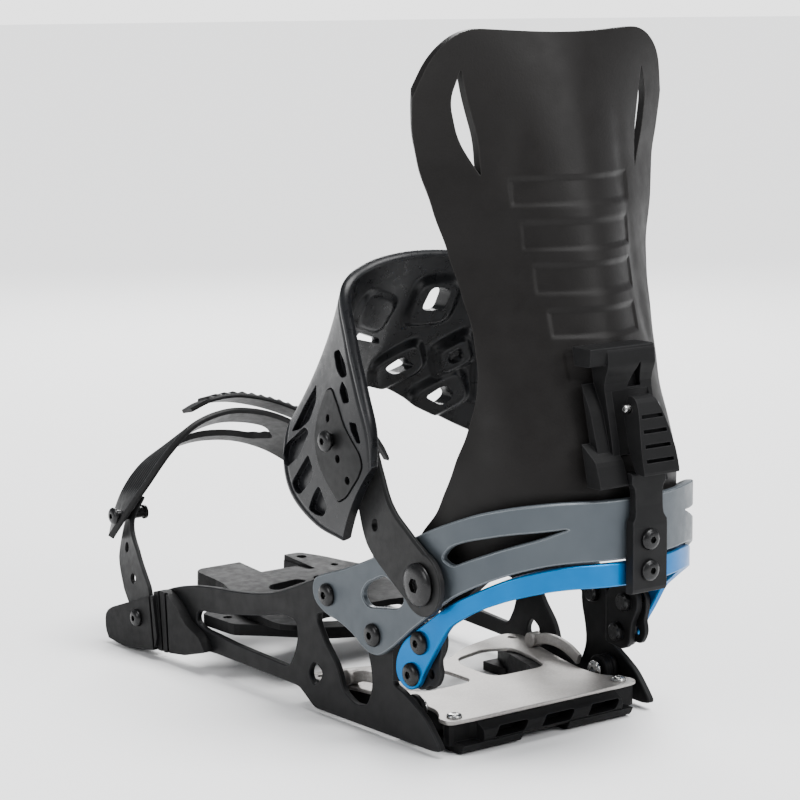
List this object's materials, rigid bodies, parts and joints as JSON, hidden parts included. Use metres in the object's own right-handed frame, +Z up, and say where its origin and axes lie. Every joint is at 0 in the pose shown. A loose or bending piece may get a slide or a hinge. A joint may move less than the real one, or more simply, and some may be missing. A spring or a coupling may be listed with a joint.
{
  "type": "splitboard binding",
  "caption": "Strap binding for a splitboard: perforated side plates, two heel loops, tall highback with lean lever, open-cell ankle strap and toe cap strap.",
  "frame": {"origin": "centre of the bounding box, at the level of the feet that stand on the board", "axes": "+Z up, +Y towards the toe, +X towards the buckle side; the middle plane of the chassis is x = -6.15 mm"},
  "size_m": [0.162, 0.3124, 0.2826],
  "materials": {
    "anodised_black": "matte black anodised, fine bead-blast grain",
    "slate_anodised": "satin slate-grey anodised with bright machined edges",
    "cyan_anodised": "glossy cyan",
    "tumbled_steel": "tumbled, faint all-round scratches",
    "bright_steel": "bright zinc",
    "black_screw": "black oxide",
    "nylon_black": "moulded glass-filled nylon",
    "highback_nylon": "satin black-brown, fine moulded grain",
    "pad_elastomer": "charcoal elastomer, glossy pocket walls",
    "strap_elastomer": "satin charcoal elastomer"
  },
  "bodies": {
    "chassis": {"side_plate_left": "anodised_black", "adjuster_plate_left": "anodised_black", "toe_mount_left": "nylon_black", "axle_barrel_left": "nylon_black", "axle_pin_left": "bright_steel", "latch_link_left": "tumbled_steel", "loop_screw_front_left": "black_screw", "loop_screw_rear_left": "black_screw", "lower_loop_screw_top_left": "black_screw", "lower_loop_screw_bottom_left": "black_screw", "heel_plate_screw_left": "bright_steel", "pivot_bolt_left": "black_screw", "toe_mount_screw_left": "black_screw", "side_plate_right": "anodised_black", "adjuster_plate_right": "anodised_black", "toe_mount_right": "nylon_black", "axle_barrel_right": "nylon_black", "axle_pin_right": "bright_steel", "latch_link_right": "tumbled_steel", "loop_screw_front_right": "black_screw", "loop_screw_rear_right": "black_screw", "lower_loop_screw_top_right": "black_screw", "lower_loop_screw_bottom_right": "black_screw", "heel_plate_screw_right": "bright_steel", "pivot_bolt_right": "black_screw", "toe_mount_screw_right": "black_screw", "upper_heel_loop": "slate_anodised", "lower_heel_loop": "cyan_anodised", "heel_clamp": "anodised_black", "clamp_bolt_upper": "black_screw", "clamp_bolt_lower": "black_screw", "heel_plate": "tumbled_steel", "heel_base": "nylon_black", "toe_ramp": "nylon_black", "toe_brace": "nylon_black"},
    "highback": {"highback": "highback_nylon", "lean_block": "nylon_black", "lean_lever_pin": "bright_steel"},
    "lean_lever": {"lean_lever": "nylon_black"},
    "ankle_strap": {"ankle_pad": "pad_elastomer", "ankle_strap_left": "strap_elastomer", "ankle_plate": "strap_elastomer", "ankle_plate_screw": "black_screw", "ankle_ladder": "strap_elastomer", "ankle_ratchet_frame": "anodised_black", "ankle_ratchet_pin": "bright_steel"},
    "ankle_ratchet_lever": {"ankle_ratchet_lever": "anodised_black"},
    "toe_strap": {"toe_cap": "strap_elastomer", "toe_strap_left": "strap_elastomer", "toe_cap_screw": "black_screw", "toe_ladder": "strap_elastomer", "toe_ratchet_frame": "anodised_black", "toe_ratchet_pin": "bright_steel"},
    "toe_ratchet_lever": {"toe_ratchet_lever": "anodised_black"}
  },
  "joints": [
    {"name": "highback_pivot", "type": "hinge", "parent": "chassis", "child": "highback", "pos_m": [-0.00615, -0.08888, 0.071], "axis": [1, 0, 0], "range_deg": [-15, 0]},
    {"name": "lean_lever_hinge", "type": "hinge", "parent": "highback", "child": "lean_lever", "pos_m": [-0.00565, -0.14398, 0.141], "axis": [1, 0, 0], "range_deg": [-70, 0]},
    {"name": "ankle_strap_pivot", "type": "hinge", "parent": "chassis", "child": "ankle_strap", "pos_m": [-0.00615, -0.08888, 0.071], "axis": [1, 0, 0], "range_deg": [-8, 12]},
    {"name": "ankle_ratchet_hinge", "type": "hinge", "parent": "ankle_strap", "child": "ankle_ratchet_lever", "pos_m": [0.07619, -0.03253, 0.12131], "axis": [-0.0717, 0.7987, -0.5975], "range_deg": [-55, 0], "stiffness_Nm_per_rad": 0.02, "springref_deg": 17.19},
    {"name": "toe_strap_pivot", "type": "hinge", "parent": "chassis", "child": "toe_strap", "pos_m": [-0.00615, 0.11762, 0.017], "axis": [1, 0, 0], "range_deg": [-30, 18]},
    {"name": "toe_ratchet_hinge", "type": "hinge", "parent": "toe_strap", "child": "toe_ratchet_lever", "pos_m": [0.04359, 0.12062, 0.08955], "axis": [0, 1, 0], "range_deg": [-55, 0], "stiffness_Nm_per_rad": 0.02, "springref_deg": 17.19}
  ]
}
